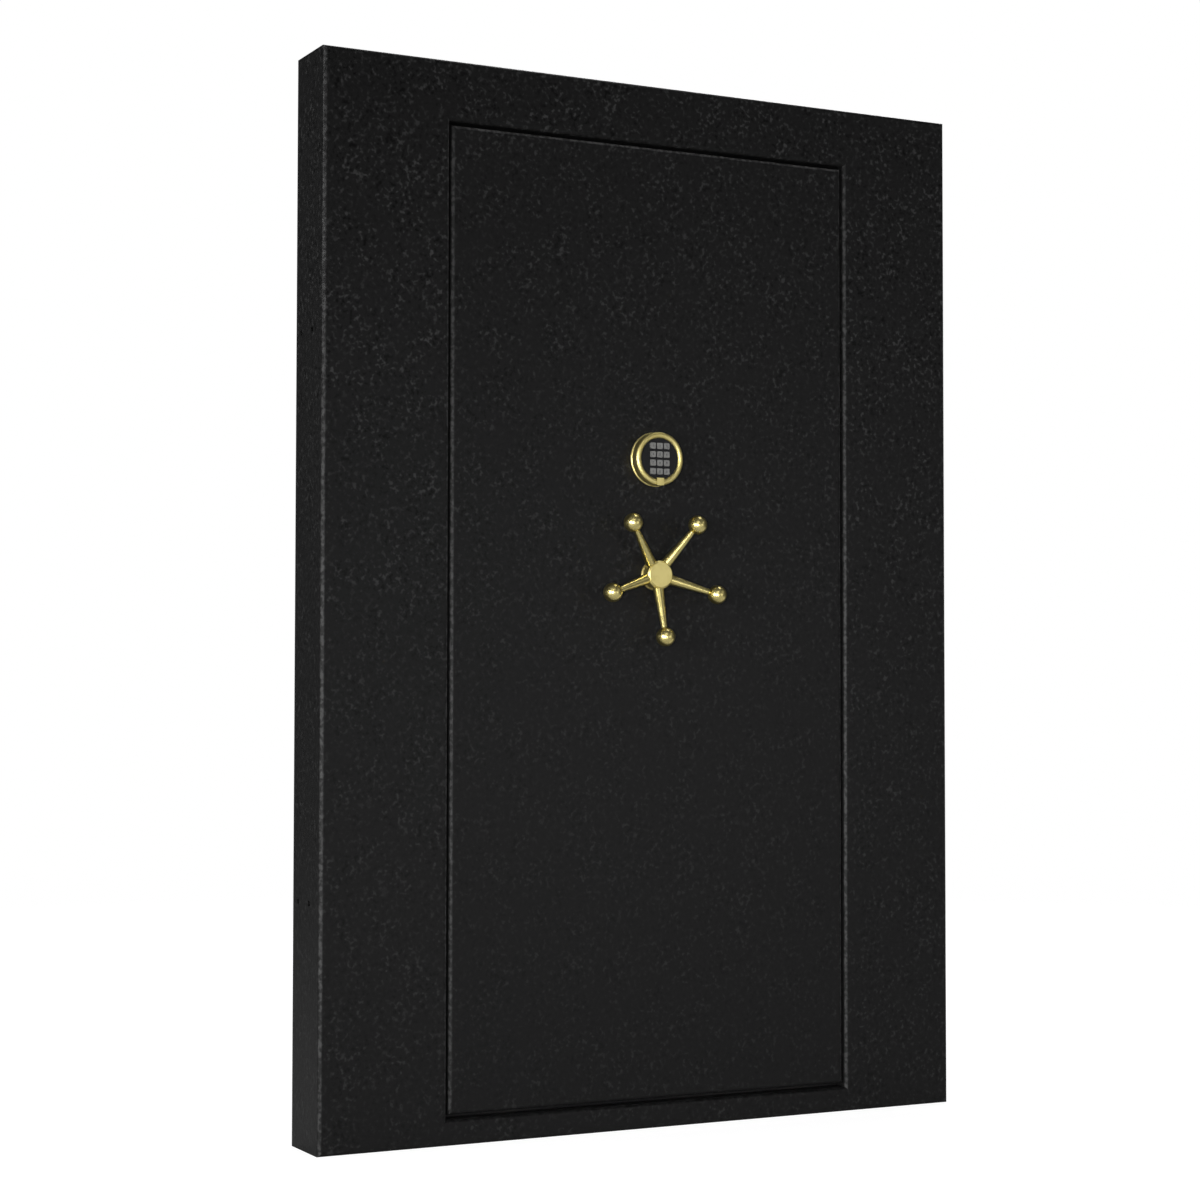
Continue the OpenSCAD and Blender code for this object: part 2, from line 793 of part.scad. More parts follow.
// Space that the drill-resistant plate takes behind the front pan
module hard_plate_blank() {
    box(leaf_cx - hard_half_w, leaf_cx + hard_half_w, y_board, y_board + hard_t,
        handle_z - hard_below, keypad_z + hard_above);
}

module hard_plate() {
    color(steel) difference() {
        hard_plate_blank();
        rod_y(leaf_cx, handle_z, y_board - cut, y_board + hard_t + cut, bush_r + fit);
        rod_y(leaf_cx, keypad_z, y_board - cut, y_board + hard_t + cut, cable_r + slide_gap);
    }
}

module door_fire_board() {
    lap = step_lap + board_gap;
    color(gypsum) difference() {
        box(leaf_x0 + lap, leaf_x1 - lap, y_board, y_plate0, leaf_z0 + lap, leaf_z1 - lap);
        hard_plate_blank();
        rod_y(leaf_cx, handle_z, y_board - cut, y_plate0 + cut, shaft_r + shaft_hole_gap);
        rod_y(leaf_cx, keypad_z, y_board - cut, y_plate0 + cut, cable_r + slide_gap);
    }
}

module boltwork_plate() {
    color(steel) difference() {
        box(in_x0, in_x1, y_plate0, y_plate, in_z0, in_z1);
        rod_y(leaf_cx, handle_z, y_plate0 - cut, y_plate + cut, shaft_r + shaft_hole_gap);
        rod_y(leaf_cx, keypad_z, y_plate0 - cut, y_plate + cut, cable_r + slide_gap);
    }
}

// Guide bushes of the bolts, on the inside of the leaf's walls
module bolt_bushes() {
    outer = bolt_r + bush_wall;
    inner = bolt_r + fit;
    color(zinc) {
        for (z = side_zs) {
            difference() {
                rod_x(y_bolt, z, in_x0, in_x0 + bush_len, outer);
                rod_x(y_bolt, z, in_x0 - cut, in_x0 + bush_len + cut, inner);
            }
            difference() {
                rod_x(y_bolt, z, in_x1 - bush_len, in_x1, outer);
                rod_x(y_bolt, z, in_x1 - bush_len - cut, in_x1 + cut, inner);
            }
        }
        for (x = end_xs) {
            difference() {
                rod_z(x, y_bolt, in_z0, in_z0 + bush_len, outer);
                rod_z(x, y_bolt, in_z0 - cut, in_z0 + bush_len + cut, inner);
            }
            difference() {
                rod_z(x, y_bolt, in_z1 - bush_len, in_z1, outer);
                rod_z(x, y_bolt, in_z1 - bush_len - cut, in_z1 + cut, inner);
            }
        }
    }
}

// Bars are drawn above the pinion, moving to the left, and turned to their side:
// 0 for the left bolts, 180 right, -90 top, 90 bottom
module around_pinion(turn) {
    translate([leaf_cx, 0, handle_z]) rotate([0, -turn, 0]) children();
}

module bar_guide(turn, at, bar_y) {
    around_pinion(turn) difference() {
        box(-at - guide_len / 2, -at + guide_len / 2, y_plate,
            bar_y + bar_t + slide_gap + guide_cap, bar_v0 - guide_wall, bar_v1 + guide_wall);
        box(-at - guide_len, -at + guide_len, bar_y - slide_gap, bar_y + bar_t + slide_gap,
            bar_v0 - slide_gap, bar_v1 + slide_gap);
    }
}

module bar_guides() {
    color(zinc) {
        for (turn = [0, 180], at = side_guides) {
            bar_guide(turn, at, y_bar_a);
        }
        for (at = top_guides) {
            bar_guide(-90, at, y_bar_b);
        }
        for (at = bottom_guides) {
            bar_guide(90, at, y_bar_b);
        }
    }
}

module bearing_bridge() {
    color(steel) translate([leaf_cx, 0, handle_z]) difference() {
        union() {
            box(-bridge_half, bridge_half, y_bridge0, y_bridge0 + bridge_t, -bridge_half,
                bridge_half);
            for (x = [-post_at, post_at], z = [-post_at, post_at]) {
                rod_y(x, z, y_plate, y_bridge0 + bridge_t / 2, post_r);
            }
        }
        rod_y(0, 0, y_bridge0 - cut, y_bridge0 + bridge_t + cut, bush_r + fit);
    }
}

module shaft_bushes() {
    color(brass) for (span = [[y_leaf, y_board + hard_t], [y_bridge0, y_bridge0 + bridge_t]]) {
        difference() {
            rod_y(leaf_cx, handle_z, span[0], span[1], bush_r);
            rod_y(leaf_cx, handle_z, span[0] - cut, span[1] + cut, shaft_r + fit);
        }
    }
}

module handle_escutcheon() {
    color(brass) turned(leaf_cx, handle_z) polygon([
        [escutcheon_bore, 0],
        [escutcheon_r, 0],
        [escutcheon_r, escutcheon_h / 2],
        [escutcheon_r - escutcheon_bevel, escutcheon_h],
        [escutcheon_bore, escutcheon_h]]);
}

module lock_body() {
    slot = lock_bolt_h / 2 + slide_gap;
    color(zinc) difference() {
        box(lock_face_x - lock_len, lock_face_x, y_plate, lock_y1, keypad_z - lock_h / 2,
            keypad_z + lock_h / 2);
        box(lock_face_x - lock_bolt_len - slide_gap, lock_face_x + cut, y_bar_b - slide_gap,
            y_bars_end + slide_gap, keypad_z - slot, keypad_z + slot);
    }
}

module lock_bolt() {
    color(brass) box(lock_face_x - lock_bolt_len, lock_face_x, y_bar_b, y_bars_end,
        keypad_z - lock_bolt_h / 2, keypad_z + lock_bolt_h / 2);
}

module lock_cable() {
    color(black_plastic) rod_y(leaf_cx, keypad_z, y_leaf, y_plate, cable_r);
}

module relocker_body() {
    color(zinc) difference() {
        box(relocker_face_x, relocker_face_x + relocker_len, y_plate, y_bars_end + lock_back,
            relocker_z - relocker_h / 2, relocker_z + relocker_h / 2);
        rod_x(relocker_y, relocker_z, relocker_face_x - cut,
            relocker_face_x + relocker_pin_len + relocker_pin_spare, relocker_pin_r + fit);
    }
}

module relocker_pin() {
    color(steel) rod_x(relocker_y, relocker_z, relocker_face_x,
        relocker_face_x + relocker_pin_len, relocker_pin_r);
}

// Pinion outline with involute flanks
function involute(a) = tan(a) - a * PI / 180;
function flank_half(r) = ((tooth_pitch / 2 - backlash) / 2 / pitch_r + involute(pressure)
    - involute(acos(min(1, base_r / r)))) * 180 / PI;
flank_steps = 5;
flank_rs = concat([root_r], [for (i = [0:flank_steps]) base_r + i * (tip_r - base_r) / flank_steps]);
function polar(r, a) = [r * cos(a), r * sin(a)];

module pinion_outline() {
    polygon([for (tooth = [0:teeth - 1]) let (middle = tooth * 360 / teeth) each concat(
        [for (r = flank_rs) polar(r, middle - flank_half(max(r, base_r)))],
        [for (i = [len(flank_rs) - 1:-1:0])
            polar(flank_rs[i], middle + flank_half(max(flank_rs[i], base_r)))])]);
}

module drive_pinion() {
    color(steel) translate([leaf_cx, 0, handle_z]) difference() {
        slab(y_bar_a - pinion_over, y_bars_end + pinion_over) pinion_outline();
        rod_y(0, 0, y_bar_a - pinion_over - cut, y_bars_end + pinion_over + cut, shaft_r + fit);
    }
}

module drive_shaft() {
    color(steel) rod_y(leaf_cx, handle_z, shaft_y0, shaft_y1, shaft_r);
}

// Rack bar above the pinion: plain to the left, toothed underneath over the travel
rack_first = -2;
rack_last = floor(throw / tooth_pitch) + 2;
rack_end = (rack_last + 0.5) * tooth_pitch;

module rack_outline(reach) {
    half = tooth_pitch / 4 - backlash / 2;
    tip_half = half - addendum * tan(pressure);
    foot_half = half + dedendum * tan(pressure);
    polygon(concat(
        [[-reach, bar_v1], [-reach, bar_v0]],
        [for (i = [rack_first:rack_last - 1]) let (middle = (i + 0.5) * tooth_pitch) each [
            [middle - foot_half, bar_v0],
            [middle - tip_half, pitch_r - addendum],
            [middle + tip_half, pitch_r - addendum],
            [middle + foot_half, bar_v0]]],
        [[rack_end, bar_v0], [rack_end, bar_v1]]));
}

module rack_bar(turn, reach, bar_y) {
    around_pinion(turn) slab(bar_y, bar_y + bar_t) rack_outline(reach);
}

side_carriage_z0 = side_zs[0] - carriage_end;
side_carriage_z1 = side_zs[side_bolts - 1] + carriage_end;

module left_bolt_bar() {
    color(steel) {
        rack_bar(0, leaf_cx - car_left - carriage_t / 2, y_bar_a);
        box(car_left, car_left + carriage_t, carriage_y0, carriage_y1, side_carriage_z0,
            side_carriage_z1);
    }
}

module right_bolt_bar() {
    color(steel) {
        rack_bar(180, car_right - leaf_cx - carriage_t / 2, y_bar_a);
        box(car_right - carriage_t, car_right, carriage_y0, carriage_y1, side_carriage_z0,
            side_carriage_z1);
    }
}

// The bar of the top bolts has two windows for the lock's bolt, one for each end of the travel
module top_bolt_bar() {
    color(steel) difference() {
        union() {
            rack_bar(-90, car_top - handle_z - carriage_t / 2, y_bar_b);
            box(end_xs[0] - carriage_end, end_xs[1] + carriage_end, carriage_y0, carriage_y1,
                car_top - carriage_t, car_top);
        }
        for (shift = [0, -throw]) {
            box(leaf_cx + bar_v0 - cut, lock_face_x + lock_travel + window_end, y_bar_b - cut,
                y_bars_end + cut, keypad_z + shift - lock_window / 2,
                keypad_z + shift + lock_window / 2);
        }
    }
}

// The bar of the bottom bolts has two windows for the relocker's pin
module bottom_bolt_bar() {
    color(steel) difference() {
        union() {
            rack_bar(90, handle_z - car_bottom - carriage_t / 2, y_bar_b);
            box(end_xs[0] - carriage_end, end_xs[1] + carriage_end, carriage_y0, carriage_y1,
                car_bottom, car_bottom + carriage_t);
        }
        for (shift = [0, throw]) {
            box(relocker_face_x - relocker_travel - window_end, leaf_cx - bar_v0 + cut,
                y_bar_b - cut, y_bars_end + cut, relocker_z + shift - relocker_window / 2,
                relocker_z + shift + relocker_window / 2);
        }
    }
}

// Chamfered bolts, drawn along +Z from the carriage to the tip
module bolt(length) {
    rotate_extrude() polygon([
        [0, 0],
        [bolt_r, 0],
        [bolt_r, length - bolt_chamfer],
        [bolt_r - bolt_chamfer, length],
        [0, length]]);
}

bolt_len = throw_room + bush_len + body_t - bolt_inset;

module left_bolts() {
    color(steel) for (z = side_zs) {
        translate([car_left, y_bolt, z]) rotate([0, -90, 0]) bolt(bolt_len);
    }
}

module right_bolts() {
    color(steel) for (z = side_zs) {
        translate([car_right, y_bolt, z]) rotate([0, 90, 0]) bolt(bolt_len);
    }
}

module top_bolts() {
    color(steel) for (x = end_xs) {
        translate([x, y_bolt, car_top]) bolt(bolt_len);
    }
}

module bottom_bolts() {
    color(steel) for (x = end_xs) {
        translate([x, y_bolt, car_bottom]) rotate([180, 0, 0]) bolt(bolt_len);
    }
}

// Outside of the hub, without its bores
module hub_blank(grow) {
    turned(leaf_cx, handle_z) polygon([
        [0, hub_bottom - grow],
        [hub_r + grow, hub_bottom - grow],
        [hub_r + grow, hub_off - hub_bevel],
        [hub_r - hub_bevel + grow, hub_off + grow],
        [0, hub_off + grow]]);
}

// One spoke's axis: children are drawn along +Z, from the hub's axis outwards
module at_spokes() {
    for (i = [0:spokes - 1]) {
        translate([leaf_cx, y_leaf - spoke_start, handle_z])
            rotate([0, 180 + i * 360 / spokes, 0]) rotate([spoke_tilt, 0, 0]) children();
    }
}

module handle_hub() {
    color(brass) difference() {
        hub_blank(0);
        rod_y(leaf_cx, handle_z, shaft_y0 - shaft_spare, y_leaf, shaft_r + fit);
        at_spokes() cylinder(h = hub_r + spoke_root_r, r = spoke_spigot_r + fit);
    }
}

module handle_spokes() {
    spigot_in = hub_r - spoke_spigot_len;
    spigot_out = hub_r + spoke_sunk;
    root_in = hub_r - spoke_sunk;
    color(brass) at_spokes() {
        translate([0, 0, spigot_in]) cylinder(h = spigot_out - spigot_in, r = spoke_spigot_r);
        translate([0, 0, spoke_end - ball_spigot_lap])
            cylinder(h = ball_spigot_len, r = ball_spigot_r);
    }
    color(brass) difference() {
        at_spokes() translate([0, 0, root_in]) cylinder(h = spoke_end - root_in,
            r1 = spoke_root_r + spoke_root_spare, r2 = spoke_tip_r);
        hub_blank(fit);
        rod_y(leaf_cx, handle_z, y_leaf - hub_bottom - cut, y_leaf, hub_r);
    }
}

module handle_balls() {
    color(brass) at_spokes() difference() {
        translate([0, 0, ball_reach]) sphere(ball_r);
        translate([0, 0, spoke_end - ball_spigot_lap - cut])
            cylinder(h = ball_spigot_len + cut + spigot_spare, r = ball_spigot_r + fit);
    }
}

// Round release knob on the inside
module escape_handle() {
    color(black_plastic) translate([leaf_cx, 0, handle_z]) rotate([-90, 0, 0]) difference() {
        rotate_extrude() polygon(concat(
            [[0, knob_y0], [knob_stem_r, knob_y0], [knob_stem_r, knob_y1]],
            arc(knob_r - knob_round_r, knob_y1 + knob_round_r, knob_round_r, -90, 0, 8),
            arc(knob_r - knob_round_r, knob_y2 - knob_round_r, knob_round_r, 0, 90, 8),
            [[0, knob_y2]]));
        translate([0, 0, knob_y0 - cut]) cylinder(h = shaft_y1 - knob_y0 + cut + shaft_spare,
            r = shaft_r + fit);
    }
}

// Brass housing: mounting flange, drum, rounded rim and the well for face and keys
module keypad_base() {
    color(brass) difference() {
        turned(leaf_cx, keypad_z) polygon(concat(
            [[0, 0], [flange_r, 0], [flange_r, flange_h], [groove_r, groove_off0],
                [groove_r, groove_off1], [rim_r, drum_off]],
            arc(rim_mid_r, rim_arc_off, rim_w / 2, 0, 180, 24),
            [[face_r + face_gap, face_back], [key_well_r, face_back], [key_well_r, key_floor],
                [0, key_floor]]));
        drawer_room();
        rod_y(leaf_cx, keypad_z, y_leaf - tray_off0, y_leaf + cut, cable_r + slide_gap);
    }
}

// Block placed by its distances from the leaf's face and from the keypad's centre
module keypad_box(half, off0, off1, low, high) {
    box(leaf_cx - half, leaf_cx + half, y_leaf - off1, y_leaf - off0, keypad_z - low,
        keypad_z - high);
}

// Space for the battery drawer and its tab
module drawer_room() {
    keypad_box(tray_half + slide_gap, tray_off0 - slide_gap, tray_off1 + slide_gap,
        rim_r + drawer_way, tray_top - slide_gap);
    keypad_box(tab_half + slide_gap, tray_off0 - slide_gap, rim_top + drawer_way,
        rim_r + drawer_way, tab_top - slide_gap);
}

module keypad_face() {
    color(black_plastic) difference() {
        rod_y(leaf_cx, keypad_z, y_leaf - face_off, y_leaf - face_back, face_r);
        at_keys() key_block(key_w + 2 * slide_gap, key_h + 2 * slide_gap, face_back - cut,
            face_off + cut);
        drawer_room();
    }
}

// Drawer for the cells, with the pull tab that shows in the rim
module battery_drawer() {
    cells_top = cell_z0 + cell_len + cell_gap;
    color(brass) difference() {
        intersection() {
            union() {
                keypad_box(tray_half, tray_off0, tray_off1, rim_r, tray_top);
                keypad_box(tab_half, tray_off0, rim_top + tab_proud, rim_r, tab_top);
            }
            rod_y(leaf_cx, keypad_z, y_leaf - rim_top - drawer_way, y_leaf, rim_r - drawer_gap);
        }
        box(leaf_cx - tray_half + tray_wall, leaf_cx + tray_half - tray_wall,
            y_leaf - tray_off1 - cut, y_leaf - tray_off0 - tray_wall, cell_z0 - cell_gap, cells_top);
    }
}

module battery_cells() {
    color("dimgray") for (side = [-1, 1]) {
        rod_z(leaf_cx + side * cell_x, y_leaf - cell_off, cell_z0, cell_z0 + cell_len, cell_r);
    }
}

// Place of one key, counted from the top left
module at_key(i) {
    translate([leaf_cx + (i % 3 - 1) * key_dx, 0, keypad_z + (1.5 - floor(i / 3)) * key_dz])
        children();
}

module at_keys() {
    for (i = [0:len(key_names) - 1]) {
        at_key(i) children();
    }
}

// Rounded rectangle between two distances from the leaf's face
module key_block(w, h, off0, off1) {
    r = key_corner_r;
    slab(y_leaf - off1, y_leaf - off0) union() {
        square([w - 2 * r, h], center = true);
        square([w, h - 2 * r], center = true);
        for (x = [-1, 1], z = [-1, 1]) {
            translate([x * (w / 2 - r), z * (h / 2 - r)]) circle(r);
        }
    }
}

module key(i) {
    flange_top = face_back - slide_gap;
    color(key_grey) at_key(i) {
        key_block(key_w, key_h, flange_top - key_flange_t / 2, key_top);
        key_block(key_w + 2 * key_flange, key_h + 2 * key_flange, flange_top - key_flange_t,
            flange_top);
    }
}

frame_face();
strike_jamb();
hinge_jamb();
head_jamb();
sill_jamb();
frame_back_plates();
frame_screws();
fire_seal();
frame_hinge_plates();
hinge_pins();
hinge_bearings();
anchor_sleeves();
door_skin();
door_body();
door_fire_board();
hard_plate();
boltwork_plate();
rear_cover();
leaf_screws();
leaf_hinge_plates();
bolt_bushes();
bar_guides();
bearing_bridge();
shaft_bushes();
handle_escutcheon();
lock_body();
lock_cable();
relocker_body();
keypad_base();
keypad_face();
handle_hub();
handle_spokes();
handle_balls();
drive_shaft();
drive_pinion();
escape_handle();
left_bolt_bar();
left_bolts();
right_bolt_bar();
right_bolts();
top_bolt_bar();
top_bolts();
bottom_bolt_bar();
bottom_bolts();
lock_bolt();
relocker_pin();
battery_drawer();
battery_cells();
for (i = [0:len(key_names) - 1]) {
    key(i);
}
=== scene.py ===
# Looks of the vault-room door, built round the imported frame.
# Metres, in the frame's own axes: X to the right, Y into the vault, Z up.
import json
import math

import bmesh
import bpy
from mathutils import Matrix, Quaternion, Vector


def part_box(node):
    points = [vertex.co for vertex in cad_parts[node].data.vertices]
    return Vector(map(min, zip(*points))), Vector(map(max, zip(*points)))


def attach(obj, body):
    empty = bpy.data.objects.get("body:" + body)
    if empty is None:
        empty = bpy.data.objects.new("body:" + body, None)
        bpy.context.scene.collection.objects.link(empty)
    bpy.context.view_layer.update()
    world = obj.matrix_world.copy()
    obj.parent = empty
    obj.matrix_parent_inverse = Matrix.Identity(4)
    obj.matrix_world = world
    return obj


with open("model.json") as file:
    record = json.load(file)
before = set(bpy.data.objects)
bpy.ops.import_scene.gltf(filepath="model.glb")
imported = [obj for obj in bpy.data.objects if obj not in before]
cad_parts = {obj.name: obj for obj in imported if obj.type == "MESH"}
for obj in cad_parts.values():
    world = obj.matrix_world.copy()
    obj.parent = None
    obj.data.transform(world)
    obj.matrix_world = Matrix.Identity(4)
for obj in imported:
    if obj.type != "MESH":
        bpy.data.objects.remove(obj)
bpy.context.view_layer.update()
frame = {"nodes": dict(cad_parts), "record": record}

# Camera, solved from the straight edges of the door in the photograph
IMAGE_PIXELS = 1200
FOCAL_PIXELS = 2500.9
SENSOR_MM = 36.0
CAMERA_AT = Vector((-2.3806, -4.4580, 0.8531))
CAMERA_YAW = math.radians(27.249)
CAMERA_PITCH = math.radians(2.229)
CAMERA_ROLL = math.radians(0.07)

# World: grey light that goes from its front to its back strength between these cosines to the
# line of sight, and a white backdrop for metal that starts and is full at these cosines
AMBIENT = (0.98, 0.98, 1.0, 1.0)
AMBIENT_FRONT = 0.13
AMBIENT_BACK = 0.07
FRONT_COSINE = -0.9
BACK_COSINE = 0.5
BACKDROP_EDGE = 0.86
BACKDROP_FULL = 0.96

# Floor: its tones, and how far from the middle it turns white and fades out
FLOOR_RADIUS = 6.0
FLOOR_SEGMENTS = 64
FLOOR_FADE = 3.0
FLOOR_TONE = 0.50
FLOOR_SHADOW = 0.22
FLOOR_GLOW = 0.92
FLOOR_MIRRORED = 0.15
GLOW_NEAR = 0.9
GLOW_FAR = 2.6

# What the lights aim at
DOOR_MIDDLE = Vector((0.0, 0.0, 1.04))
DOOR_LOW_LEFT = Vector((-0.6, 0.0, 0.2))
DOOR_TOP_LEFT = Vector((-0.7, 0.0, 2.0))
DOOR_RIGHT = Vector((0.8, 0.0, 0.93))
HANDLE_SPOT = Vector((0.0, 0.0, 1.1))

# Lights: name, place, aim, width, height, watts and spread in degrees
ALL_ROUND = 180.0
LIGHTS = (
    ("left_softbox", (-4.2, -2.3, 0.9), DOOR_LOW_LEFT, 1.7, 2.2, 15.7, 52.0),
    ("front_softbox", (-2.5, -4.4, 0.9), DOOR_RIGHT, 1.2, 0.9, 15.8, 57.0),
    ("front_low", (-0.7, -4.6, 0.5), HANDLE_SPOT, 1.2, 1.0, 11.0, ALL_ROUND),
    ("front_upper", (-1.5, -4.3, 3.9), HANDLE_SPOT, 2.6, 1.2, 17.0, ALL_ROUND),
    ("right_panel", (2.4, -4.5, 1.1), HANDLE_SPOT, 2.4, 1.9, 15.5, ALL_ROUND),
    ("right_key", (3.2, -2.7, 3.0), HANDLE_SPOT, 1.3, 1.3, 3.0, ALL_ROUND),
    ("left_strip", (-3.6, 0.5, 2.6), DOOR_TOP_LEFT, 0.5, 1.2, 9.0, 90.0),
    ("top_softbox", (1.0, 0.4, 4.4), DOOR_MIDDLE, 2.2, 0.8, 22.0, ALL_ROUND),
    ("right_side", (4.2, 1.3, 1.4), DOOR_RIGHT, 1.6, 1.6, 26.0, ALL_ROUND),
    ("back_softbox", (2.8, 4.4, 4.2), DOOR_MIDDLE, 2.2, 2.2, 170.0, ALL_ROUND),
)

# Paint: its grey, the shares of it in the dark hollows, partly painted shade, and on lumps, partly
# painted glint, and the shares of a bend's painted-light grey between lumps and on them. Its texture
# is turned, so that no face lies along the noise's grid
PAINT_GREY = 0.0114
PIT_AND_SHADE_SHARE = 0.35
LUMP_AND_GLINT_SHARE = 3.6
BEND_LIGHT_BETWEEN = 0.6
BEND_LIGHT_ON_LUMPS = 1.6
NOISE_TURN = (0.6, 0.4, 0.7)
# Bends get painted light: a painted highlight on upright ones. On ones that face up, the leaf gets a
# painted highlight and the frame gets painted shade, darker than its coat
FRAME_PAINT = {"lumpiness": 1.0, "upright_highlight": 0.034, "level_light_and_shade": 0.5 * PAINT_GREY}
LEAF_PAINT = {"lumpiness": 0.72, "upright_highlight": 0.027, "level_light_and_shade": 0.055}

# Most of a noise's values lie between these
NOISE_LOW = 0.3
NOISE_HIGH = 0.7

# Brass: bright and dulled colour, and three finishes by roughness. Spokes and balls are polished
BRASS = ((0.88, 0.755, 0.305, 1.0), (0.77, 0.645, 0.24, 1.0))
# Darker brass of the escutcheon behind the hub: painted shade
BRASS_IN_SHADE = ((0.46, 0.38, 0.15, 1.0), (0.34, 0.28, 0.11, 1.0))
POLISHED = (0.24, 0.32)
SATIN = (0.38, 0.46)
ROUGH = (0.50, 0.62)
SATIN_NODES = ("keypad_base", "battery_drawer", "handle_hub")
# Escutcheon in painted shade: darker brass and the roughest finish
BRASS_IN_SHADE_NODES = ("handle_escutcheon",)

# Key legends
LEGENDS = {"key_star": "*", "key_hash": "#", **{f"key_{digit}": str(digit) for digit in range(10)}}
LEGEND_HEIGHT = 0.0068
LEGEND_RAISE = 0.00012


def grey(level):
    return (level, level, level, 1.0)


class Graph:
    """Short calls for the nodes of one shader tree."""

    def __init__(self, owner):
        owner.use_nodes = True
        self.tree = owner.node_tree

    def node(self, kind, inputs):
        """A new node, with each input set to a value or linked to a socket."""
        made = self.tree.nodes.new(kind)
        for name, value in inputs.items():
            self.join(made.inputs[name], value)
        return made

    def join(self, socket, value):
        if isinstance(value, bpy.types.NodeSocket):
            self.tree.links.new(value, socket)
        else:
            socket.default_value = value

    def coordinates(self, kind):
        return self.node("ShaderNodeTexCoord", {}).outputs[kind]

    def remap(self, value, low, high, to_low=0.0, to_high=1.0):
        inputs = {
            "Value": value,
            "From Min": low,
            "From Max": high,
            "To Min": to_low,
            "To Max": to_high,
        }
        return self.node("ShaderNodeMapRange", inputs).outputs["Result"]

    def maths(self, operation, *values, kind="ShaderNodeMath"):
        made = self.node(kind, {})
        made.operation = operation
        for socket, value in zip(made.inputs, values):
            self.join(socket, value)
        return made.outputs["Value"]

    def times(self, first, second):
        return self.maths("MULTIPLY", first, second)

    def mix(self, share, first, second):
        """Shader that goes from first to second as share goes from 0 to 1."""
        inputs = {"Fac": share, 1: first, 2: second}
        return self.node("ShaderNodeMixShader", inputs).outputs["Shader"]

    def seen_share(self, mirrored_share):
        """1 for what the camera sees itself, mirrored_share for what it sees in metal or glass."""
        rays = self.node("ShaderNodeLightPath", {}).outputs
        mirrored = self.maths("MAXIMUM", rays["Is Glossy Ray"], rays["Is Transmission Ray"])
        return self.maths("MAXIMUM", rays["Is Camera Ray"], self.times(mirrored, mirrored_share))


class Finish(Graph):
    """A material with one Principled shader, and short calls for the textures that feed it."""

    def __init__(self, name, **values):
        self.material = bpy.data.materials.new(name)
        super().__init__(self.material)
        self.shader = self.tree.nodes["Principled BSDF"]
        self.place = self.coordinates("Object")
        self.feed(**values)

    def feed(self, **values):
        """Sets the shader's own sockets: base_color=... feeds Base Color."""
        for name, value in values.items():
            words = [word.upper() if word == "ior" else word.capitalize() for word in name.split("_")]
            self.join(self.shader.inputs[" ".join(words)], value)

    def mapped(self, **inputs):
        """Object coordinates, turned or stretched."""
        return self.node("ShaderNodeMapping", {"Vector": self.place, **inputs}).outputs["Vector"]

    def noise(self, scale, detail, stretch=None, place=None):
        if stretch:
            place = self.mapped(Scale=stretch)
        inputs = {"Vector": place or self.place, "Scale": scale, "Detail": detail}
        return self.node("ShaderNodeTexNoise", inputs).outputs["Fac"]

    def split(self, vector):
        return self.node("ShaderNodeSeparateXYZ", {"Vector": vector}).outputs

    def bends(self):
        """Two masks for painted light, 1 where an edge is rounded: upright edges, and level ones that
        face up.
        """
        facing = self.split(self.coordinates("Normal"))
        upright = self.maths("ABSOLUTE", self.times(facing["X"], facing["Y"]))
        level = self.times(facing["Z"], facing["Y"])
        return self.remap(upright, 0.18, 0.46), self.remap(level, -0.18, -0.46)

    def blend(self, share, first, second):
        """Colour that goes from first to second as share goes from 0 to 1."""
        made = self.node("ShaderNodeMix", {})
        made.data_type = "RGBA"
        colours = [socket for socket in made.inputs if socket.type == "RGBA"]
        self.join(made.inputs[0], share)
        self.join(colours[0], first)
        self.join(colours[1], second)
        return next(socket for socket in made.outputs if socket.type == "RGBA")

    def bump(self, height, strength, distance, under=None):
        inputs = {"Height": height, "Strength": strength, "Distance": distance}
        if under is not None:
            inputs["Normal"] = under
        return self.node("ShaderNodeBump", inputs).outputs["Normal"]


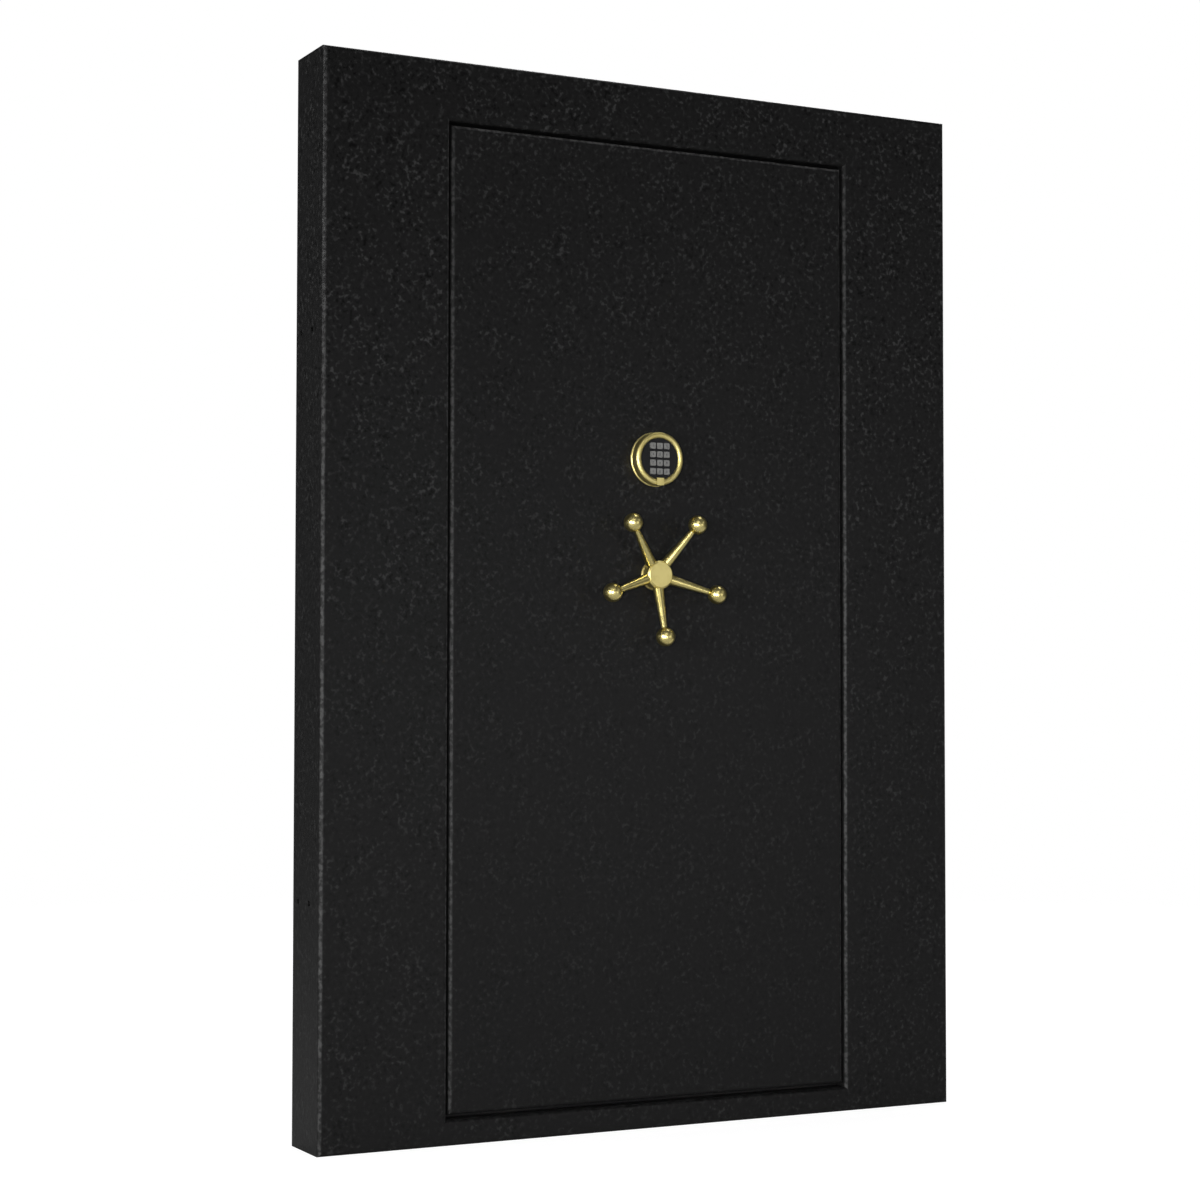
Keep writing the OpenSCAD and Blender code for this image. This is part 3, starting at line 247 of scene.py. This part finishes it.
def textured_paint(name, lumpiness, upright_highlight, level_light_and_shade):
    """Black powder coat with pale lumps, partly painted glint, and dark hollows, partly painted
    shade, both stronger towards the top, and painted light of these greys along its bends.
    """
    paint = Finish(name, specular_ior_level=0.06)
    place = paint.mapped(Rotation=NOISE_TURN)
    skin = paint.noise(scale=480.0, detail=2.0, place=place)
    lumps = paint.noise(scale=118.0, detail=1.0, place=place)
    clouds = paint.noise(scale=20.0, detail=2.0, place=place)
    height = paint.split(paint.place)["Z"]
    # Painted light from above: the glints and shade on the lumps grow stronger towards the top
    glint_and_shade_higher = paint.remap(height, low=0.8, high=1.7, to_low=0.50, to_high=1.0)
    drifts = paint.remap(clouds, low=0.38, high=0.60, to_low=0.30 * lumpiness, to_high=lumpiness)
    strength = paint.times(drifts, glint_and_shade_higher)
    lump_tops_and_glints = paint.times(paint.remap(lumps, low=0.56, high=0.72), strength)
    pits_and_shade = paint.times(paint.remap(lumps, low=0.44, high=0.30), strength)
    coat = paint.blend(pits_and_shade, grey(PAINT_GREY), grey(PIT_AND_SHADE_SHARE * PAINT_GREY))
    coat = paint.blend(lump_tops_and_glints, coat, grey(LUMP_AND_GLINT_SHARE * PAINT_GREY))
    # Painted highlight along the bends, stronger on the lumps; on the frame's upward bends it is
    # painted shade instead
    bend_lumps = paint.remap(lumps, low=0.42, high=0.62)
    for bend, bend_grey in zip(paint.bends(), (upright_highlight, level_light_and_shade)):
        bend_light = paint.blend(bend_lumps, grey(BEND_LIGHT_BETWEEN * bend_grey), grey(BEND_LIGHT_ON_LUMPS * bend_grey))
        coat = paint.blend(bend, coat, bend_light)
    fine = paint.bump(skin, strength=0.3, distance=0.0003)
    paint.feed(
        base_color=coat,
        roughness=paint.remap(skin, NOISE_LOW, NOISE_HIGH, to_low=0.46, to_high=0.34),
        normal=paint.bump(lumps, strength=0.35, distance=0.0008, under=fine),
    )
    return paint.material


def grained(name, colours, grain, roughness, relief, blotches=None, **values):
    """Two colours under a grain that gives roughness and relief.

    The second colour lies in the blotches, or follows the grain where there are none.
    """
    made = Finish(name, **values)
    texture = made.noise(**grain)
    share = texture
    if blotches:
        low, high = blotches["limits"]
        share = made.remap(made.noise(blotches["scale"], blotches["detail"]), low, high)
    made.feed(
        base_color=made.blend(share, *colours),
        roughness=made.remap(texture, NOISE_LOW, NOISE_HIGH, *roughness),
        normal=made.bump(texture, **relief),
    )
    return made.material


def inner_paint():
    """Plain black paint of the parts behind the face: finer skin, a little dust."""
    return grained(
        "inner_paint",
        colours=((0.011, 0.011, 0.012, 1.0), (0.019, 0.018, 0.017, 1.0)),
        blotches={"scale": 9.0, "detail": 5.0, "limits": (0.45, 0.75)},
        grain={"scale": 420.0, "detail": 2.0},
        roughness=(0.50, 0.38),
        relief={"strength": 0.35, "distance": 0.0003},
        specular_ior_level=0.22,
    )


def buffed_brass(name, colours, roughness):
    """Buffed brass: fine polishing haze, slightly deeper where it has dulled."""
    return grained(
        name,
        colours=colours,
        blotches={"scale": 46.0, "detail": 4.0, "limits": (0.42, 0.70)},
        grain={"scale": 900.0, "detail": 2.0},
        roughness=roughness,
        relief={"strength": 0.03, "distance": 0.0001},
        metallic=1.0,
    )


def bearing_bronze():
    """Turned bronze with fine tool marks and stains."""
    return grained(
        "bearing_bronze",
        colours=((0.56, 0.38, 0.17, 1.0), (0.36, 0.22, 0.09, 1.0)),
        blotches={"scale": 60.0, "detail": 4.0, "limits": (0.45, 0.7)},
        grain={"scale": 600.0, "detail": 1.0},
        roughness=(0.25, 0.40),
        relief={"strength": 0.15, "distance": 0.0001},
        metallic=1.0,
    )


def zinc_plate():
    """Zinc plating with its cloudy spangle."""
    zinc = Finish("zinc_plate", metallic=1.0)
    clouds = zinc.remap(zinc.noise(scale=150.0, detail=4.0), low=0.35, high=0.65)
    zinc.feed(
        base_color=zinc.blend(clouds, (0.56, 0.56, 0.52, 1.0), (0.68, 0.67, 0.61, 1.0)),
        roughness=zinc.remap(clouds, low=0.0, high=1.0, to_low=0.26, to_high=0.42),
        normal=zinc.bump(clouds, strength=0.08, distance=0.0001),
    )
    return zinc.material


def bare_steel():
    """Ground steel: long scratches and a few darker oil marks."""
    return grained(
        "bare_steel",
        colours=((0.46, 0.47, 0.48, 1.0), (0.27, 0.27, 0.27, 1.0)),
        blotches={"scale": 24.0, "detail": 5.0, "limits": (0.48, 0.72)},
        grain={"scale": 60.0, "detail": 3.0, "stretch": (1.0, 25.0, 25.0)},
        roughness=(0.28, 0.46),
        relief={"strength": 0.12, "distance": 0.0001},
        metallic=1.0,
    )


def bolt_chrome():
    """Hard chrome with faint slide marks."""
    chrome = Finish("bolt_chrome", metallic=1.0)
    marks = chrome.noise(scale=320.0, detail=3.0)
    chrome.feed(
        base_color=chrome.blend(marks, (0.76, 0.76, 0.77, 1.0), (0.82, 0.82, 0.83, 1.0)),
        roughness=chrome.remap(marks, NOISE_LOW, NOISE_HIGH, to_low=0.08, to_high=0.17),
    )
    return chrome.material


def fire_board():
    """Gypsum fire board with paper fibres."""
    return grained(
        "fire_board",
        colours=((0.62, 0.59, 0.52, 1.0), (0.78, 0.75, 0.69, 1.0)),
        grain={"scale": 240.0, "detail": 4.0, "stretch": (1.0, 1.0, 0.25)},
        roughness=(0.85, 0.95),
        relief={"strength": 0.3, "distance": 0.0003},
        specular_ior_level=0.2,
    )


def seal_strip():
    """Grey-black expanding fire seal with a grainy skin."""
    return grained(
        "seal_strip",
        colours=((0.035, 0.035, 0.035, 1.0), (0.075, 0.074, 0.072, 1.0)),
        grain={"scale": 700.0, "detail": 2.0},
        roughness=(0.75, 0.9),
        relief={"strength": 0.4, "distance": 0.0002},
        specular_ior_level=0.2,
    )


def black_plastic():
    """Moulded black plastic with a spark-eroded grain."""
    return grained(
        "black_plastic",
        colours=((0.008, 0.008, 0.009, 1.0), (0.016, 0.016, 0.017, 1.0)),
        grain={"scale": 1400.0, "detail": 2.0},
        roughness=(0.34, 0.5),
        relief={"strength": 0.25, "distance": 0.0001},
        specular_ior_level=0.12,
    )


def key_rubber():
    """Grey silicone rubber of the keys, darker where it is touched."""
    return grained(
        "key_rubber",
        colours=((0.19, 0.19, 0.183, 1.0), (0.14, 0.14, 0.135, 1.0)),
        blotches={"scale": 210.0, "detail": 3.0, "limits": (0.4, 0.7)},
        grain={"scale": 1600.0, "detail": 2.0},
        roughness=(0.48, 0.62),
        relief={"strength": 0.2, "distance": 0.0001},
        specular_ior_level=0.35,
    )


def cell_wrap():
    """Creased shrink wrap of the battery cells."""
    return grained(
        "cell_wrap",
        colours=((0.06, 0.06, 0.065, 1.0), (0.13, 0.13, 0.14, 1.0)),
        grain={"scale": 260.0, "detail": 3.0, "stretch": (1.0, 1.0, 0.2)},
        roughness=(0.2, 0.34),
        relief={"strength": 0.15, "distance": 0.0002},
        specular_ior_level=0.5,
        coat_weight=0.3,
    )


def legend_ink():
    """Dark ink of the key legends, worn a little."""
    ink = Finish("legend_ink", specular_ior_level=0.3)
    worn = ink.remap(ink.noise(scale=1500.0, detail=3.0), low=0.5, high=0.8)
    ink.feed(
        base_color=ink.blend(worn, (0.02, 0.02, 0.022, 1.0), (0.07, 0.07, 0.07, 1.0)),
        roughness=ink.remap(worn, low=0.0, high=1.0, to_low=0.5, to_high=0.65),
    )
    return ink.material


def make_finishes():
    """One material for each material slot of the record."""
    return {
        "black_textured_paint": textured_paint("frame_paint", **FRAME_PAINT),
        "inner_black_paint": inner_paint(),
        "polished_brass": buffed_brass("polished_brass", BRASS, POLISHED),
        "bearing_bronze": bearing_bronze(),
        "zinc_plated_steel": zinc_plate(),
        "bare_steel": bare_steel(),
        "chromed_bolt": bolt_chrome(),
        "fire_board": fire_board(),
        "seal_strip": seal_strip(),
        "black_plastic": black_plastic(),
        "key_rubber": key_rubber(),
        "cell_wrap": cell_wrap(),
    }


def dress(piece, material):
    piece.data.materials.clear()
    piece.data.materials.append(material)


def dress_nodes():
    """Each node gets its slot's material, then a few get their own."""
    finishes = make_finishes()
    nodes = frame["nodes"]
    for part in frame["record"]["subparts"]:
        dress(nodes[part["node"]], finishes[part["material_slot"]])
    # The leaf's paint, with painted highlights on its upright and upward-facing bends
    dress(nodes["door_skin"], textured_paint("leaf_paint", **LEAF_PAINT))
    satin = buffed_brass("satin_brass", BRASS, SATIN)
    # The escutcheon behind the hub gets darker brass: painted shade
    in_shade = buffed_brass("brass_in_shade", BRASS_IN_SHADE, ROUGH)
    for material, names in ((satin, SATIN_NODES), (in_shade, BRASS_IN_SHADE_NODES)):
        for name in names:
            dress(nodes[name], material)


def link(name, data):
    made = bpy.data.objects.new(name, data)
    bpy.context.scene.collection.objects.link(made)
    return made


def sign_mesh(sign):
    """Solid outline of a sign, lying flat with its middle at the origin."""
    text = bpy.data.curves.new("legend_outline", "FONT")
    text.body = sign
    text.size = LEGEND_HEIGHT
    text.extrude = LEGEND_RAISE
    outline = link("legend_outline", text)
    bpy.context.view_layer.update()
    view = bpy.context.evaluated_depsgraph_get()
    mesh = bpy.data.meshes.new_from_object(outline.evaluated_get(view))
    bpy.data.objects.remove(outline)
    across = [vertex.co.x for vertex in mesh.vertices]
    along = [vertex.co.y for vertex in mesh.vertices]
    middle = Vector(((min(across) + max(across)) / 2, (min(along) + max(along)) / 2, 0.0))
    mesh.transform(Matrix.Translation(-middle))
    return mesh


def key_legend(key, sign, ink):
    """Raised sign on the front of a key, that is pressed with it."""
    low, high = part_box(key)
    spot = Vector(((low.x + high.x) / 2, low.y, (low.z + high.z) / 2))
    upright = Matrix.Rotation(math.radians(90), 4, "X")
    mesh = sign_mesh(sign)
    mesh.transform(Matrix.Translation(spot) @ upright)
    legend = link(f"legend_{key}", mesh)
    dress(legend, ink)
    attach(legend, key)


def make_legends():
    ink = legend_ink()
    for key, sign in LEGENDS.items():
        key_legend(key, sign, ink)


def area_light(name, at, aim, width, height, power, spread):
    lamp = bpy.data.lights.new(name, "AREA")
    lamp.spread = math.radians(spread)
    lamp.shape = "RECTANGLE"
    lamp.size = width
    lamp.size_y = height
    lamp.energy = power
    made = link(name, lamp)
    made.location = at
    made.rotation_mode = "QUATERNION"
    made.rotation_quaternion = (aim - Vector(at)).to_track_quat("-Z", "Y")


def make_world():
    """White where the camera looks, also in metal, and a grey studio that darkens to the back."""
    world = bpy.data.worlds.new("studio")
    bpy.context.scene.world = world
    sky = Graph(world)
    sky.tree.nodes.clear()
    cosine = sky.maths(
        "DOT_PRODUCT", sky.coordinates("Generated"), camera_ahead(), kind="ShaderNodeVectorMath"
    )
    strength = sky.remap(cosine, FRONT_COSINE, BACK_COSINE, AMBIENT_FRONT, AMBIENT_BACK)
    ambient = sky.node("ShaderNodeBackground", {"Color": AMBIENT, "Strength": strength})
    white = sky.node("ShaderNodeBackground", {"Color": grey(1.0)})
    shown = sky.seen_share(sky.remap(cosine, BACKDROP_EDGE, BACKDROP_FULL))
    surface = sky.mix(shown, ambient.outputs["Background"], white.outputs["Background"])
    sky.node("ShaderNodeOutputWorld", {"Surface": surface})


def floor_material():
    """Pale floor that reaches white where no shadow falls, and fades into the backdrop."""
    material = bpy.data.materials.new("pale_floor")
    floor = Graph(material)
    floor.tree.nodes.clear()
    reach = floor.maths("LENGTH", floor.coordinates("Object"), kind="ShaderNodeVectorMath")
    whiten = floor.remap(reach, GLOW_NEAR, GLOW_FAR, FLOOR_GLOW, 1.0)
    fade = floor.remap(reach, FLOOR_FADE, FLOOR_RADIUS)
    fade.node.interpolation_type = "SMOOTHSTEP"
    plain = floor.node("ShaderNodeBsdfDiffuse", {"Color": grey(FLOOR_TONE)}).outputs["BSDF"]
    shadowed = floor.node("ShaderNodeBsdfDiffuse", {"Color": grey(FLOOR_SHADOW)}).outputs["BSDF"]
    glow = floor.node("ShaderNodeEmission", {"Strength": whiten}).outputs["Emission"]
    lit = floor.node("ShaderNodeAddShader", {0: shadowed, 1: glow}).outputs["Shader"]
    clear = floor.node("ShaderNodeBsdfTransparent", {}).outputs["BSDF"]
    seen = floor.mix(floor.seen_share(FLOOR_MIRRORED), plain, lit)
    floor.node("ShaderNodeOutputMaterial", {"Surface": floor.mix(fade, seen, clear)})
    return material


def make_floor():
    mesh = bpy.data.meshes.new("floor")
    work = bmesh.new()
    bmesh.ops.create_circle(work, cap_ends=True, segments=FLOOR_SEGMENTS, radius=FLOOR_RADIUS)
    work.to_mesh(mesh)
    work.free()
    floor = link("floor", mesh)
    dress(floor, floor_material())


def make_studio():
    bpy.context.scene.view_settings.view_transform = "Standard"
    make_world()
    make_floor()
    for light in LIGHTS:
        area_light(*light)


def camera_ahead():
    level = math.cos(CAMERA_PITCH)
    return Vector((
        math.sin(CAMERA_YAW) * level,
        math.cos(CAMERA_YAW) * level,
        math.sin(CAMERA_PITCH),
    ))


def make_camera():
    lens = bpy.data.cameras.new("camera")
    lens.sensor_width = SENSOR_MM
    lens.lens = FOCAL_PIXELS / IMAGE_PIXELS * SENSOR_MM
    camera = link("camera", lens)
    camera.location = CAMERA_AT
    camera.rotation_mode = "QUATERNION"
    level = camera_ahead().to_track_quat("-Z", "Y")
    camera.rotation_quaternion = level @ Quaternion((0.0, 0.0, 1.0), CAMERA_ROLL)
    bpy.context.scene.camera = camera


dress_nodes()
make_legends()
make_studio()
make_camera()
